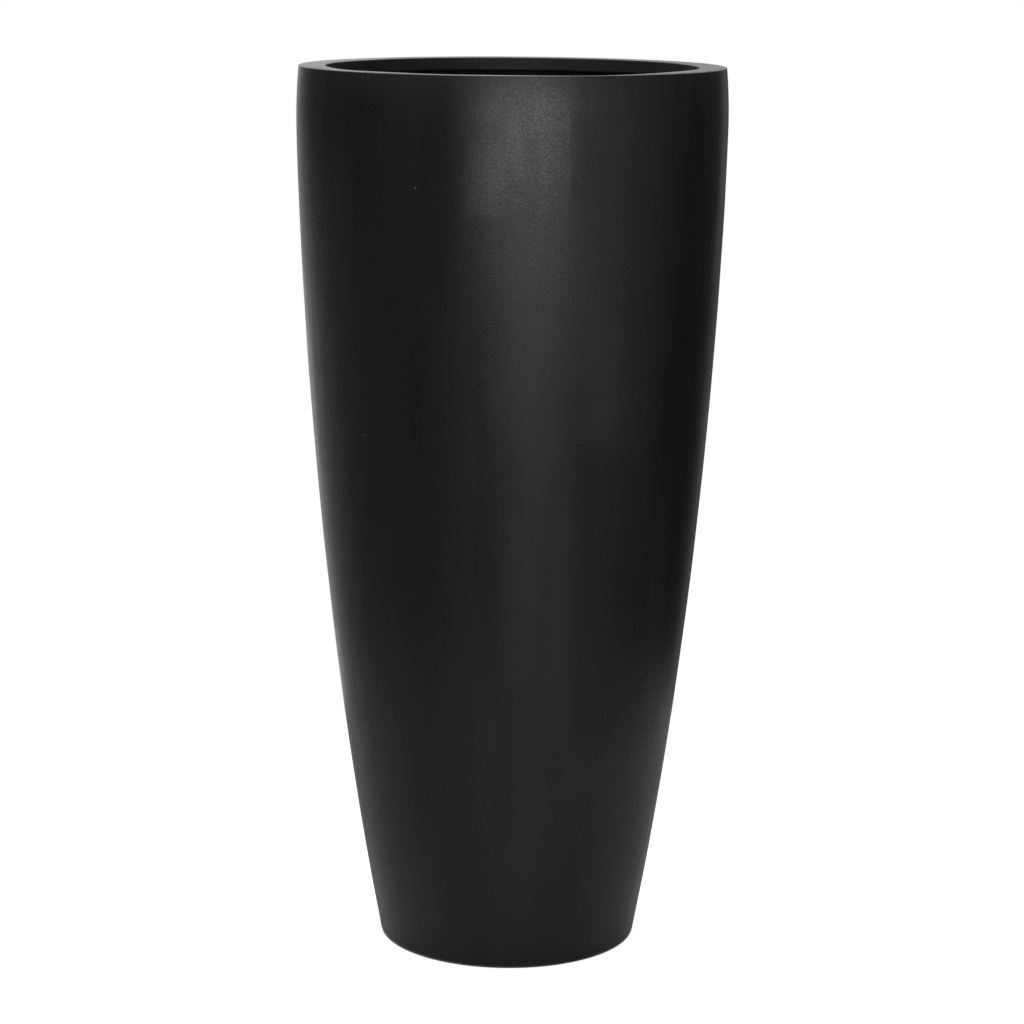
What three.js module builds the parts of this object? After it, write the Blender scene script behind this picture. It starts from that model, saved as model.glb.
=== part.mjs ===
// Tall round fibreglass planter, in millimetres, +Z up.
// The origin is the middle of the base, on the ground.
//
// A thin laminate wall swells from a narrow foot to its widest place just under the rim.
// A flat rim turns in from its top edge and drops a short way into the mouth, which leaves
// a hollow channel behind it. A floor panel lies on a foot ring inside the wall's bottom
// edge and has a tapered drain hole with a rubber plug. Bands of glass tape bond the rim
// and the floor to the wall, and the planter stands on four thin rubber pads.
import * as THREE from 'three';

// ---- Driving dimensions ----------------------------------------------------------------

const HEIGHT = 1000; // ground to the flat of the rim
const PAD_HEIGHT = 3; // ground to the wall's bottom edge
const FOOT_RADIUS = 148; // outside of the wall at its bottom edge
const BELLY_RADIUS = 240; // outside of the wall where it is widest
const BELLY_HEIGHT = 944; // height of that widest place
const RIM_RADIUS = 237; // outside of the wall at the rim
const MOUTH_RADIUS = 207; // clear mouth inside the rim
const LOWER_FLARE = [227, 420]; // radius and height that the wall's lower sweep aims at
const UPPER_FLARE = [240, 862]; // radius and height that its upper sweep comes from

const WALL_THICKNESS = 5;
const WALL_EDGE_ROUNDING = 0.8; // outer edge of the rim and of the foot
const GAP = 0.3; // bond line between pieces that touch

const LIP_THICKNESS = 5; // flat of the rim and its drop into the mouth
const LIP_DROP = 16; // depth of the drop's face
const LIP_EDGE_ROUNDING = 1.2; // edge that hands and soil pass over
const LIP_FILLET = 3; // inside corners of the rim channel
const FLANGE_THICKNESS = 4; // leg of the lip that is bonded to the wall
const FLANGE_DEPTH = 40; // how far that leg reaches below the rim

const TAPE_THICKNESS = 1.5;
const RIM_TAPE_REACH = 34; // how far the rim's tape runs down the wall, past the flange
const RIM_TAPE_LAP = 18; // how far it runs up the flange
const FLOOR_TAPE_WIDTH = 42; // how far the floor's tape runs up the wall and over the floor
const FLOOR_COVE_RADIUS = 9; // resin fillet that the floor's tape is laid over

const FOOT_RING_THICKNESS = 6;
const FOOT_RING_WIDTH = 27;
const FLOOR_THICKNESS = 5;

const DRAIN_RADIUS = 11; // hole at its upper end
const DRAIN_TAPER = 1.2; // how much smaller its radius is at its lower end
const DRAIN_BOSS_RADIUS = 25; // thicker part of the floor round the hole
const DRAIN_BOSS_DEPTH = 3.5;
const DRAIN_SEAT_RADIUS = 18.2; // shallow recess that the plug's head lies in
const DRAIN_SEAT_DEPTH = 1.5;

const PLUG_HEAD_RADIUS = 17;
const PLUG_HEAD_THICKNESS = 3.2;
const PLUG_HEAD_CROWN = 1.6; // how far the middle of the head stands above its edge
const PLUG_CORE_RADIUS = 5.5; // blind hole up the stem, which lets the rubber squeeze
const PLUG_CORE_DEPTH = 6;
const PLUG_TOE_HEIGHT = 4.2; // ground to the stem's lower end
const PLUG_GROOVE_DEPTH = 0.7;

const PAD_RADIUS = 10;
const PAD_CIRCLE_RADIUS = 129;
const PAD_EDGE_ROUNDING = 0.8;
const PAD_COUNT = 4;

const LARGE_ROUND_STEPS = 72; // flats round the wall, rim, floor and their tapes
const SMALL_ROUND_STEPS = 32; // flats round the plug
const PAD_ROUND_STEPS = 20;
const WALL_STEPS = 12; // straight steps up each face of the wall, foot to belly
const RIM_STEPS = 3; // and from the belly to the rim
const EDGE_STEPS = 3; // straight steps round a rounded edge

// ---- Heights worked out from them ------------------------------------------------------

const FOOT_TOP = PAD_HEIGHT + FOOT_RING_THICKNESS;
const FLOOR_BOTTOM = FOOT_TOP + GAP;
const FLOOR_TOP = FLOOR_BOTTOM + FLOOR_THICKNESS;
const DRAIN_SEAT_HEIGHT = FLOOR_TOP - DRAIN_SEAT_DEPTH;
const DRAIN_BOSS_BOTTOM = FLOOR_BOTTOM - DRAIN_BOSS_DEPTH;
const FLANGE_BOTTOM = HEIGHT - FLANGE_DEPTH;

// ---- The wall's shape ------------------------------------------------------------------

const sweep = new THREE.CubicBezierCurve(
  new THREE.Vector2(FOOT_RADIUS, PAD_HEIGHT),
  new THREE.Vector2(...LOWER_FLARE),
  new THREE.Vector2(...UPPER_FLARE),
  new THREE.Vector2(BELLY_RADIUS, BELLY_HEIGHT),
);

// Above the belly the wall leans back in along one large arc, upright where it leaves the
// sweep and RIM_RADIUS at the rim.
const rimRise = HEIGHT - BELLY_HEIGHT;
const rimLean = BELLY_RADIUS - RIM_RADIUS;
const rimArcRadius = (rimRise ** 2 + rimLean ** 2) / (2 * rimLean);

function outerRadius(height) {
  if (height >= BELLY_HEIGHT) {
    const rise = height - BELLY_HEIGHT;
    return BELLY_RADIUS - rimArcRadius + Math.sqrt(rimArcRadius ** 2 - rise ** 2);
  }
  let low = 0;
  let high = 1;
  while (high - low > 1e-7) {
    const middle = (low + high) / 2;
    if (sweep.getPoint(middle).y < height) low = middle;
    else high = middle;
  }
  return sweep.getPoint(low).x;
}

// Radius of a face that lies a constant depth inside the wall's outer face.
function radiusInside(height, depth) {
  const step = 0.5;
  const below = Math.max(height - step, PAD_HEIGHT);
  const above = Math.min(height + step, HEIGHT);
  const slope = (outerRadius(above) - outerRadius(below)) / (above - below);
  return outerRadius(height) - depth * Math.hypot(1, slope);
}

// Points up (or down) such a face.
function face(depth, from, to, steps) {
  const points = [];
  for (let i = 0; i <= steps; i += 1) {
    const height = from + ((to - from) * i) / steps;
    points.push(new THREE.Vector2(radiusInside(height, depth), height));
  }
  return points;
}

// ---- Helpers ---------------------------------------------------------------------------

const at = (radius, height) => new THREE.Vector2(radius, height);

// Points along a quarter turn, or any other arc, from one angle in degrees to another.
function arc(radius, height, rounding, fromDegrees, toDegrees, steps = EDGE_STEPS) {
  const points = [];
  for (let i = 0; i <= steps; i += 1) {
    const angle = THREE.MathUtils.degToRad(fromDegrees + ((toDegrees - fromDegrees) * i) / steps);
    points.push(at(radius + rounding * Math.cos(angle), height + rounding * Math.sin(angle)));
  }
  return points;
}

// Turns a profile round the Z axis. The profile runs up its outer side and down its inner
// side. One that doesn't start on the axis is a ring, and is closed on itself.
function turned(profile, steps) {
  const onAxis = profile[0].x === 0;
  const outline = onAxis ? profile : [...profile, profile[0]];
  const geometry = new THREE.LatheGeometry(outline, steps);
  geometry.rotateX(Math.PI / 2);
  return geometry;
}

// ---- Finishes --------------------------------------------------------------------------

const BLACK_FINISH = { color: 0x252527, roughness: 0.5, metalness: 0 };
const RAW_LAMINATE = { color: 0x2e2d2a, roughness: 0.75, metalness: 0 };
const GLASS_TAPE = { color: 0x3a3833, roughness: 0.7, metalness: 0 };
const RUBBER = { color: 0x191919, roughness: 0.85, metalness: 0 };

function piece(name, geometry, finish) {
  const mesh = new THREE.Mesh(geometry, new THREE.MeshStandardMaterial(finish));
  mesh.name = name;
  return mesh;
}

// ---- The pieces ------------------------------------------------------------------------

// The barrel: one thin laminate that follows the sweep, with soft outer edges.
function wallShell() {
  const edge = WALL_EDGE_ROUNDING;
  return turned([
    ...arc(FOOT_RADIUS - edge, PAD_HEIGHT + edge, edge, 270, 345),
    ...face(0, PAD_HEIGHT + 2 * edge, BELLY_HEIGHT, WALL_STEPS),
    ...face(0, BELLY_HEIGHT, HEIGHT - edge, RIM_STEPS).slice(1),
    ...arc(RIM_RADIUS - edge, HEIGHT - edge, edge, 0, 90).slice(1),
    ...face(WALL_THICKNESS, HEIGHT, BELLY_HEIGHT, RIM_STEPS),
    ...face(WALL_THICKNESS, BELLY_HEIGHT, PAD_HEIGHT, WALL_STEPS).slice(1),
  ], LARGE_ROUND_STEPS);
}

// The rim: a flat ring let in flush with the wall's top edge. Its inner edge drops into the
// mouth, its outer edge has a flange that is bonded to the wall, and the channel between
// them is open below.
function rimLip() {
  const bond = WALL_THICKNESS + GAP;
  const underside = HEIGHT - LIP_THICKNESS;
  const dropBottom = HEIGHT - LIP_DROP;
  const dropOuter = MOUTH_RADIUS + LIP_THICKNESS;
  const edge = LIP_EDGE_ROUNDING;
  const toe = LIP_THICKNESS / 2;
  const flangeInner = bond + FLANGE_THICKNESS;
  return turned([
    ...face(bond, FLANGE_BOTTOM, HEIGHT, 2),
    ...arc(MOUTH_RADIUS + edge, HEIGHT - edge, edge, 90, 180),
    ...arc(MOUTH_RADIUS + toe, dropBottom + toe, toe, 180, 360, 4),
    ...arc(dropOuter + LIP_FILLET, underside - LIP_FILLET, LIP_FILLET, 180, 90, 2),
    ...arc(radiusInside(underside, flangeInner) - LIP_FILLET, underside - LIP_FILLET, LIP_FILLET, 90, 0, 2),
    ...face(flangeInner, underside - 2 * LIP_FILLET, FLANGE_BOTTOM + FLANGE_THICKNESS, 1),
  ], LARGE_ROUND_STEPS);
}

// The band of glass tape that laps from the flange onto the wall below it.
function rimJointTape() {
  const onWall = WALL_THICKNESS + GAP;
  const onFlange = onWall + FLANGE_THICKNESS + GAP;
  const bottom = FLANGE_BOTTOM - RIM_TAPE_REACH;
  const kneeBottom = FLANGE_BOTTOM - FLANGE_THICKNESS;
  const kneeTop = FLANGE_BOTTOM + FLANGE_THICKNESS;
  const top = kneeTop + RIM_TAPE_LAP;
  return turned([
    ...face(onWall, bottom, kneeBottom, 1),
    ...face(onFlange, kneeTop, top, 1),
    ...face(onFlange + TAPE_THICKNESS, top - TAPE_THICKNESS, kneeTop, 1),
    ...face(onWall + TAPE_THICKNESS, kneeBottom - TAPE_THICKNESS, bottom + TAPE_THICKNESS, 1),
  ], LARGE_ROUND_STEPS);
}

// The flat ring that the wall ends in at the ground, which the floor panel lies on.
function footRing() {
  const outer = WALL_THICKNESS + GAP;
  const innerRadius = radiusInside(PAD_HEIGHT, outer) - FOOT_RING_WIDTH;
  const edge = WALL_EDGE_ROUNDING;
  return turned([
    ...face(outer, PAD_HEIGHT, FOOT_TOP, 1),
    at(innerRadius, FOOT_TOP),
    ...arc(innerRadius + edge, PAD_HEIGHT + edge, edge, 180, 270, 2),
  ], LARGE_ROUND_STEPS);
}

// Inner end of the floor's tape, where the free floor ends.
function floorTapeInnerRadius() {
  return radiusInside(FLOOR_TOP, WALL_THICKNESS + GAP) - FLOOR_TAPE_WIDTH;
}

// The floor: a disc that fills the wall's inside, thicker round the drain hole, with a
// shallow seat for the plug's head.
function floorPanel() {
  const outer = WALL_THICKNESS + GAP;
  return turned([
    at(DRAIN_RADIUS - DRAIN_TAPER, DRAIN_BOSS_BOTTOM),
    at(DRAIN_BOSS_RADIUS, DRAIN_BOSS_BOTTOM),
    at(DRAIN_BOSS_RADIUS + DRAIN_BOSS_DEPTH, FLOOR_BOTTOM),
    ...face(outer, FLOOR_BOTTOM, FLOOR_TOP, 1),
    at(floorTapeInnerRadius() - GAP, FLOOR_TOP),
    at(DRAIN_SEAT_RADIUS + DRAIN_SEAT_DEPTH, FLOOR_TOP),
    at(DRAIN_SEAT_RADIUS, DRAIN_SEAT_HEIGHT),
    at(DRAIN_RADIUS, DRAIN_SEAT_HEIGHT),
  ], LARGE_ROUND_STEPS);
}

// The band of glass tape that laps from the wall over a resin cove onto the floor.
function floorJointTape() {
  const outer = WALL_THICKNESS + GAP;
  const bottom = FLOOR_TOP + GAP;
  const top = bottom + FLOOR_TAPE_WIDTH;
  const tapeTop = bottom + TAPE_THICKNESS;
  const cove = FLOOR_COVE_RADIUS;
  const coveRadius = radiusInside(tapeTop + cove, outer + TAPE_THICKNESS) - cove;
  const innerRadius = floorTapeInnerRadius();
  return turned([
    at(innerRadius, bottom),
    ...face(outer, bottom, top, 1),
    ...face(outer + TAPE_THICKNESS, top - TAPE_THICKNESS, tapeTop + 1.4 * cove, 1),
    ...arc(coveRadius, tapeTop + cove, cove, 0, -90),
    at(innerRadius + TAPE_THICKNESS, tapeTop),
  ], LARGE_ROUND_STEPS);
}

// Radius of the plug's stem at a height: the drain hole's taper, less the running gap.
function stemRadius(height) {
  const depth = (DRAIN_SEAT_HEIGHT - height) / (DRAIN_SEAT_HEIGHT - DRAIN_BOSS_BOTTOM);
  return DRAIN_RADIUS - GAP - DRAIN_TAPER * depth;
}

// The drain plug: a crowned head over a tapered stem with two sealing ribs, hollow from
// below so that the rubber can squeeze into the hole.
function drainPlug() {
  const headBottom = DRAIN_SEAT_HEIGHT + GAP;
  const headEdge = headBottom + PLUG_HEAD_THICKNESS;
  const rounding = PLUG_HEAD_THICKNESS / 2;
  const groove = (height, depth) => at(stemRadius(height) - depth, height);
  const grooves = [7, 9.2].flatMap((height) => [
    groove(height, 0),
    groove(height + 0.4, PLUG_GROOVE_DEPTH),
    groove(height + 1.2, PLUG_GROOVE_DEPTH),
    groove(height + 1.6, 0),
  ]);
  return turned([
    at(0, PLUG_TOE_HEIGHT + PLUG_CORE_DEPTH),
    at(PLUG_CORE_RADIUS, PLUG_TOE_HEIGHT + PLUG_CORE_DEPTH),
    at(PLUG_CORE_RADIUS, PLUG_TOE_HEIGHT),
    at(stemRadius(PLUG_TOE_HEIGHT) - 1, PLUG_TOE_HEIGHT),
    groove(PLUG_TOE_HEIGHT + 1, 0),
    ...grooves,
    groove(headBottom, 0),
    at(PLUG_HEAD_RADIUS - rounding, headBottom),
    ...arc(PLUG_HEAD_RADIUS - rounding, headEdge - rounding, rounding, -60, 75, 4),
    at(PLUG_HEAD_RADIUS * 0.6, headEdge + PLUG_HEAD_CROWN * 0.7),
    at(0, headEdge + PLUG_HEAD_CROWN),
  ], SMALL_ROUND_STEPS);
}

// One thin rubber pad, bonded under the foot ring.
function floorPad() {
  const top = PAD_HEIGHT - GAP;
  const edge = PAD_EDGE_ROUNDING;
  return turned([
    at(0, 0),
    ...arc(PAD_RADIUS - edge, edge, edge, -90, 0, 2),
    at(PAD_RADIUS, top),
    at(0, top),
  ], PAD_ROUND_STEPS);
}

function placedPad(number) {
  const pad = piece(`floor_pad_${number}`, floorPad(), RUBBER);
  const angle = ((number - 0.5) / PAD_COUNT) * 2 * Math.PI;
  pad.position.set(PAD_CIRCLE_RADIUS * Math.cos(angle), PAD_CIRCLE_RADIUS * Math.sin(angle), 0);
  return pad;
}

// ---- The assembly ----------------------------------------------------------------------

const planter = new THREE.Group();
planter.add(
  piece('wall_shell', wallShell(), BLACK_FINISH),
  piece('rim_lip', rimLip(), BLACK_FINISH),
  piece('rim_joint_tape', rimJointTape(), GLASS_TAPE),
  piece('foot_ring', footRing(), RAW_LAMINATE),
  piece('floor_panel', floorPanel(), RAW_LAMINATE),
  piece('floor_joint_tape', floorJointTape(), GLASS_TAPE),
  piece('drain_plug', drainPlug(), RUBBER),
);
for (let number = 1; number <= PAD_COUNT; number += 1) {
  planter.add(placedPad(number));
}

export default planter;
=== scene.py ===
# %% [markdown]
# # A tall fibreglass planter
#
# This lesson dresses a packed construction model of a tall, round fibreglass planter.
# The planter is a thin black laminate wall, narrow at the foot and widest just under the
# rim, with a flat rim that turns in over the mouth, a floor with a rubber drain plug, and
# four rubber pads. The construction solids carry the sizes and the joint. Here each of
# them gets a fine surface over the same form: the ripple that a hand-laid shell keeps
# from its mould, the coarse glass mat that shows inside, and the studio it is shown in.

# %% Load the construction model
import math
import random

import bpy
import numpy as np
from mathutils import Matrix, Vector, noise


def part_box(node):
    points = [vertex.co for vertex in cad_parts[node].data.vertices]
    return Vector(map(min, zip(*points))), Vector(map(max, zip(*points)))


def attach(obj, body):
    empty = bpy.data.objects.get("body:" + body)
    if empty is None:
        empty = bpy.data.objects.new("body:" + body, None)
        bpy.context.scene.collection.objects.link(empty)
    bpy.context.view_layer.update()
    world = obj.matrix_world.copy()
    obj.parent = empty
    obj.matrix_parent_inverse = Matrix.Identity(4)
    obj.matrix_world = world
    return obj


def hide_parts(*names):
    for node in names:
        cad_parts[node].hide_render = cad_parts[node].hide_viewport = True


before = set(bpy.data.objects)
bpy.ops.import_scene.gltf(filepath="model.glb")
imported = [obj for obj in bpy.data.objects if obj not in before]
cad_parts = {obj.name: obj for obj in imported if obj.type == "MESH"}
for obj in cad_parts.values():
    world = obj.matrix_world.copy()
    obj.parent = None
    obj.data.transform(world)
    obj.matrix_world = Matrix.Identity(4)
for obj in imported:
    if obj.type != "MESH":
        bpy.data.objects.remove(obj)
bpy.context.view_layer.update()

print("nodes:", sorted(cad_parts))

# %% [markdown]
# ## The outline that everything follows
#
# The real wall is laid up in a mould that was turned on a lathe, so one outline says
# nearly everything about it. It could be read back from the solid's facets, but those are
# straight steps. The same sweep is drawn again instead, as one Bezier curve from the foot
# to the widest place and one long arc from there to the rim, from the heights and the
# greatest radius that the frame gives. Radii and heights are in metres.

# %% Read the main sizes and draw the outline
MM = 0.001
WALL_LOW, WALL_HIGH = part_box("wall_shell")
FOOT = WALL_LOW.z
RIM = WALL_HIGH.z
BELLY_RADIUS = WALL_HIGH.x
BELLY = 944 * MM  # height of the widest place
FOOT_RADIUS = 148 * MM
RIM_RADIUS = 237 * MM
MOUTH_RADIUS = 207 * MM
LOWER_FLARE = (227 * MM, 420 * MM)  # radius and height that the sweep aims at from the foot
UPPER_FLARE = (240 * MM, 862 * MM)  # and that it comes from at the widest place
WALL = 5 * MM  # thickness of the laminate
GAP = 0.3 * MM  # bond line between pieces


def sweep_table(steps=1500):
    """Heights, radii and slopes up the outside of the wall."""
    t = np.linspace(0, 1, steps)
    weights = ((1 - t) ** 3, 3 * t * (1 - t) ** 2, 3 * t**2 * (1 - t), t**3)
    ends = ((FOOT_RADIUS, FOOT), LOWER_FLARE, UPPER_FLARE, (BELLY_RADIUS, BELLY))
    radii = sum(w * p[0] for w, p in zip(weights, ends))
    heights = sum(w * p[1] for w, p in zip(weights, ends))
    rise, lean = RIM - BELLY, BELLY_RADIUS - RIM_RADIUS
    arc_radius = (rise**2 + lean**2) / (2 * lean)
    up = np.linspace(0, rise, steps // 6)[1:]
    radii = np.append(radii, BELLY_RADIUS - arc_radius + np.sqrt(arc_radius**2 - up**2))
    heights = np.append(heights, BELLY + up)
    return heights, radii, np.gradient(radii, heights)


SWEEP_HEIGHTS, SWEEP_RADII, SWEEP_SLOPES = sweep_table()


def radius_at(height, depth=0.0):
    """Radius of a face that lies this deep inside the wall's outer face."""
    slope = np.interp(height, SWEEP_HEIGHTS, SWEEP_SLOPES)
    return np.interp(height, SWEEP_HEIGHTS, SWEEP_RADII) - depth * np.hypot(1, slope)


print("widest radius", BELLY_RADIUS, "rim radius", round(float(radius_at(RIM)), 4))

# %% [markdown]
# ## Turning an outline into a mesh
#
# Every piece here is round, so one helper turns an outline about the Z axis. Blender's
# Screw modifier would do that too, but a mesh written by hand can be pushed in and out
# point by point on the way, and can be given texture coordinates in real metres. An
# outline is a list of stretches, each with the finish that it gets. It runs up the outer
# side and down the inner side, and closes on itself unless it starts on the axis. A
# stretch starts a little past the rounded edge before it, so that no two points coincide.

# %% Outline helpers
PAST_EDGE = 0.3 * MM  # how far past a rounded edge the next stretch starts


def up_face(depth, start, end, spacing):
    """Points along a face at a depth inside the wall's outer face, from one height to another."""
    steps = max(1, round(abs(end - start) / spacing))
    heights = np.linspace(start, end, steps + 1)
    return [(float(radius_at(h, depth)), float(h)) for h in heights]


def straight(start, end, spacing):
    """Points along a straight stretch."""
    length = math.dist(start, end)
    steps = max(1, round(length / spacing))
    return [tuple(np.add(start, np.subtract(end, start) * i / steps)) for i in range(steps + 1)]


def corner(centre, rounding, start, end, steps=6):
    """Points round an edge, from one angle in degrees to another."""
    turns = np.radians(np.linspace(start, end, steps + 1))
    return [(centre[0] + rounding * math.cos(a), centre[1] + rounding * math.sin(a)) for a in turns]


print("points round an edge of 1 mm:", len(corner((0, 0), 1 * MM, 0, 90)))


# %% Turn an outline
TINY = 1e-7  # points closer than this are one point, and a radius below it lies on the axis


def outline_normals(points, closed):
    """Unit vectors that point out of the solid, one for each point of an outline."""
    if closed:
        along = np.roll(points, -1, 0) - np.roll(points, 1, 0)
    else:
        along = np.gradient(points, axis=0)
    out = np.stack([along[:, 1], -along[:, 0]], 1)
    return out / np.maximum(np.linalg.norm(out, axis=1), 1e-12)[:, None]


def turned(name, stretches, around, relief=None, sharp=50):
    """A mesh turned from stretches of (points, material number).
    relief(angles, point) gives how far the ring through a point stands proud of the outline."""
    rows, numbers = [], []
    for points, number in stretches:
        for point in points:
            if not rows or math.dist(rows[-1], point) > TINY:
                rows.append(tuple(point))
                numbers.append(number)
    closed = rows[0][0] > TINY
    if closed and math.dist(rows[0], rows[-1]) < TINY:
        rows.pop()
        numbers.pop()
    outline = np.array(rows)
    normals = outline_normals(outline, closed)
    angles = np.linspace(0, 2 * math.pi, around, endpoint=False)
    places, starts = [], []
    for i, (radius, height) in enumerate(outline):
        starts.append(len(places))
        if radius < TINY:
            places.append((0.0, 0.0, height))
            continue
        proud = relief(angles, outline[i]) if relief else np.zeros(around)
        radii = radius + proud * normals[i, 0]
        heights = height + proud * normals[i, 1]
        places.extend(zip(radii * np.cos(angles), radii * np.sin(angles), heights))
    run = np.append(0, np.cumsum(np.linalg.norm(np.diff(outline, axis=0), axis=1)))
    faces, face_numbers, uvs = [], [], []
    unroll = outline[:, 0].mean() * 2 * math.pi / around
    wide = outline[:, 0] > TINY  # a ring on the axis is a single point
    for i in range(len(outline) if closed else len(outline) - 1):
        k = (i + 1) % len(outline)
        v0, v1 = run[i], run[i] + math.dist(outline[i], outline[k])
        for j in range(around):
            n = (j + 1) % around
            a, b = starts[i] + j * wide[i], starts[i] + n * wide[i]
            c, d = starts[k] + n * wide[k], starts[k] + j * wide[k]
            corners = [(a, j, v0), (b, j + 1, v0), (c, j + 1, v1), (d, j, v1)]
            if a == b:
                corners.pop(1)
            if c == d:
                corners.pop(-1)
            faces.append([int(p[0]) for p in corners])
            face_numbers.append(numbers[i])
            uvs.extend((p[1] * unroll, p[2]) for p in corners)
    mesh = bpy.data.meshes.new(name)
    mesh.from_pydata(places, [], faces)
    mesh.polygons.foreach_set("material_index", face_numbers)
    mesh.uv_layers.new(name="metres").data.foreach_set("uv", np.array(uvs, np.float32).ravel())
    mesh.shade_smooth()
    mesh.set_sharp_from_angle(angle=math.radians(sharp))
    piece = bpy.data.objects.new(name, mesh)
    bpy.context.scene.collection.objects.link(piece)
    return piece


def points_of(piece):
    """The mesh's points as rows of x, y and z."""
    places = np.empty(len(piece.data.vertices) * 3)
    piece.data.vertices.foreach_get("co", places)
    return places.reshape(-1, 3)


def put_points(piece, places):
    """Writes moved points back into the mesh."""
    piece.data.vertices.foreach_set("co", places.ravel())
    piece.data.update()


def dress(piece, body, nodes, slot, *materials):
    """Gives a piece its finishes, hides the construction nodes it stands in for, and hangs it on the body
    that carries it.
    """
    for material in materials:
        piece.data.materials.append(material)
    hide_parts(*nodes)
    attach(piece, body)
    low, high = piece.bound_box[0], piece.bound_box[6]
    size = [round((b - a) / MM, 1) for a, b in zip(low, high)]
    print(piece.name, "rides on", body, "mm", size, "faces", len(piece.data.polygons))


# %% [markdown]
# ## Writing a finish as nodes
#
# A procedural finish is a small graph of nodes. Typed out link by link it is hard to
# read, so a short helper makes a node, fills its sockets and hands it back. A value that
# is a socket is linked, and anything else is written on the socket itself.

# %% Node helper
class Graph:
    """A node tree, with a helper that adds nodes to it."""

    def __init__(self, tree):
        """Keeps the tree that the nodes go into."""
        self.tree = tree

    def add(self, kind, settings=None, **inputs):
        """Adds a node with its settings, and fills the sockets named in inputs."""
        node = self.tree.nodes.new("ShaderNode" + kind)
        for key, value in (settings or {}).items():
            setattr(node, key, value)
        for key, value in inputs.items():
            self.put(node, key.replace("_", " "), value)
        return node

    def put(self, node, socket, value):
        """Links a value to a socket, given by name or number, or writes it there."""
        target = node.inputs[int(socket)] if socket.isdigit() else node.inputs[socket]
        if isinstance(value, bpy.types.NodeSocket):
            self.tree.links.new(value, target)
        else:
            target.default_value = value

    def noise(self, where, size, detail=2.0, roughness=0.5):
        """Cloudy noise whose blobs are about this size in metres."""
        made = self.add("TexNoise", Vector=where, Scale=0.5 / size, Detail=detail, Roughness=roughness)
        return made.outputs["Fac"]

    def ramp(self, value, low, high, start=0.0, end=1.0, smooth=False):
        """Maps low..high of a value to start..end."""
        settings = {"interpolation_type": "SMOOTHSTEP"} if smooth else {}
        made = self.add("MapRange", settings, Value=value)
        for socket, number in zip(("From Min", "From Max", "To Min", "To Max"), (low, high, start, end)):
            made.inputs[socket].default_value = number
        return made.outputs["Result"]

    def maths(self, operation, first, second=0.0, third=None):
        """The result of one sum, product or function of sockets and numbers."""
        made = self.add("Math", {"operation": operation})
        for number, value in enumerate((first, second, third)):
            if value is not None:
                self.put(made, str(number), value)
        return made.outputs[0]

    def mix(self, share, first, second):
        """A colour between two colours."""
        made = self.add("Mix", {"data_type": "RGBA"})
        for number, value in ((0, share), (6, first), (7, second)):
            self.put(made, str(number), value)
        return made.outputs[2]

    def bump(self, height, depth, under=None):
        """Raises the surface by height times depth, in metres, over another bump."""
        made = self.add("Bump", Height=height, Distance=depth)
        if under is not None:
            self.put(made, "Normal", under)
        return made.outputs["Normal"]


class Finish(Graph):
    """A material's graph, which ends in one shader."""

    def __init__(self, name):
        """Makes the material and finds its shader."""
        self.material = bpy.data.materials.new(name)
        self.material.use_nodes = True
        super().__init__(self.material.node_tree)
        self.shader = self.tree.nodes["Principled BSDF"]

    def set(self, **inputs):
        """Fills the sockets of the shader."""
        for key, value in inputs.items():
            self.put(self.shader, key.replace("_", " "), value)


def grey(level, warmth=0.0):
    """A linear grey, a little warmer or cooler."""
    return (level * (1 + warmth), level, level * (1 - warmth), 1.0)


print("a slightly warm grey:", grey(0.5, 0.04))


# %% [markdown]
# ## The black outside
#
# The outside is a pigmented gel coat, rubbed down by hand to a semi-matte black. Up close
# it has a speckle of about a millimetre over soft waves nearly a centimetre long, and both
# show where it catches the light. It also has tall patches that were rubbed more or less,
# faint marks that run round it the way the hand went, and here and there a pinhole or a
# fleck of dust. One flat black would look like plastic film, so the patches drive the
# roughness and the shine, and the grain and the marks drive shallow bumps. A roughness
# map painted by hand would do it too, but nodes keep their detail at any distance. The
# marks and patches that can be told apart in the photograph get places of their own.

# %% Where the marks and patches of the gel coat lie
BLACK = 0.006  # linear albedo of the black
SHEEN_ROUGHNESS = 0.33
# each mark has a place on the planter in metres, a turn about Z and a lean in degrees, and
# its half sizes through the wall, along it and up it
CREASE = ((0.217, -0.052, 0.595), -13.4, 3.8, (8 * MM, 28 * MM, 2.2 * MM))
FLECKS = (
    ((-0.1007, -0.2167, 0.8831), 0.0, 0.0, (1.4 * MM, 1.4 * MM, 1.7 * MM)),
    ((-0.1576, -0.1600, 0.6114), 0.0, 0.0, (1.2 * MM, 1.2 * MM, 1.2 * MM)),
)
# patches on the front that were rubbed down or polished more or less than the rest: from left
# to right and from low to high in millimetres, each followed by how soft its two ends are,
# then how much smoother and how much shinier the patch is
RUBBED_PATCHES = {
    "finer_band": ((-36, 59, 10, 3), (680, 1100, 160, 10), 0.013, 0.0),
    "finest_at_the_top": ((-50, 22, 8, 50), (866, 1100, 34, 10), 0.026, 0.0),
    "polished_corner": ((-50, -10, 13, 46), (855, 925, 12, 40), 0.0, 0.17),
    "dull_beside_the_band": ((58, 92, 4, 40), (870, 960, 26, 20), 0.0, -0.1),
    "dull_low_on_the_right": ((70, 155, 24, 30), (270, 600, 90, 40), 0.0, -0.12),
    "bright_half_way_up": ((84, 118, 16, 20), (620, 740, 40, 80), 0.0, 0.06),
    "dull_low_on_the_left": ((-160, -80, 20, 30), (140, 640, 100, 160), 0.0, -0.07),
}
PATCH_WANDER = 4 * MM  # how far the edge of a patch strays
UPRIGHT = 5.0  # the clouds and blots are this many times taller than wide
CLOUD, BLOT, WAVE, RUB_MARK, GRAIN = 45 * MM, 22 * MM, 9 * MM, 1.4 * MM, 0.95 * MM
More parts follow.
